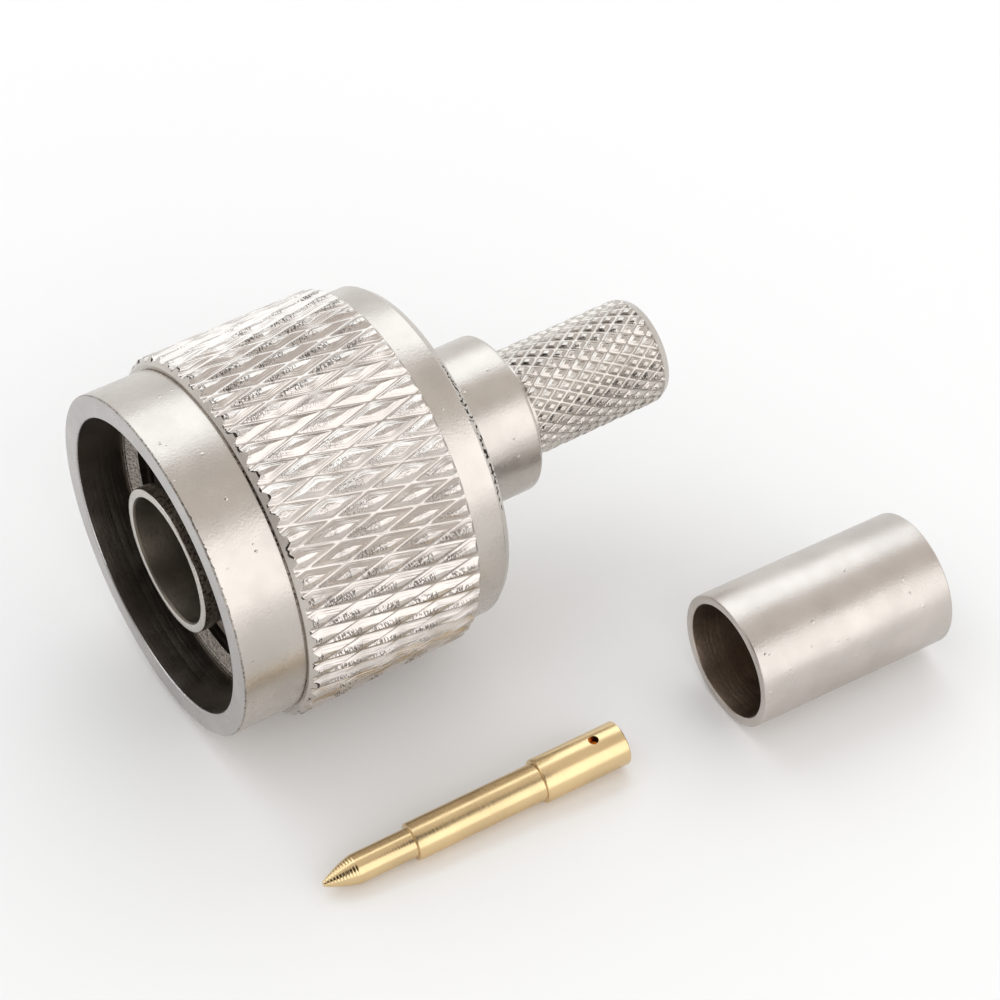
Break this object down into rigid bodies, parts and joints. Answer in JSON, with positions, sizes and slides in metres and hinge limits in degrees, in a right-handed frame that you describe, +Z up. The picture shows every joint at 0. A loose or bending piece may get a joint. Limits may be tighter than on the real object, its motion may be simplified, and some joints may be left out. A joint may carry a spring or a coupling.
{
  "type": "n type connector",
  "caption": "Crimp plug for coaxial cable with a diamond-knurled coupling nut that turns freely and a knurled crimp stem, with its loose gold contact pin and crimp ferrule.",
  "frame": {"origin": "centre of the outer contact's front face, on the plug's axis, the reference plane of the interface", "axes": "+X along the plug's axis from the mouth to the crimp stem, +Z up with the plug lying on its nut, +Y to the side away from the loose pin and ferrule"},
  "size_m": [0.0365, 0.0313, 0.0202],
  "materials": {
    "nut_plate": "bright nickel plate on turned brass, a little satin",
    "body_plate": "bright nickel plate on turned brass",
    "ferrule_plate": "satin nickel plate",
    "gold_plate": "polished gold plate",
    "ptfe": "smooth waxy",
    "gasket_rubber": "matt",
    "spring_bronze": "drawn wire, plain"
  },
  "bodies": {
    "plug": {"plug_body": "body_plate", "outer_contact": "body_plate", "insulator": "ptfe", "gasket": "gasket_rubber", "snap_ring": "spring_bronze", "contact_pin": "gold_plate", "crimp_ferrule": "ferrule_plate"},
    "nut": {"coupling_nut": "nut_plate"}
  },
  "joints": [
    {"name": "nut_spin", "type": "hinge", "parent": "plug", "child": "nut", "pos_m": [0.007, 0, 0], "axis": [1, 0, 0], "continuous": true}
  ]
}
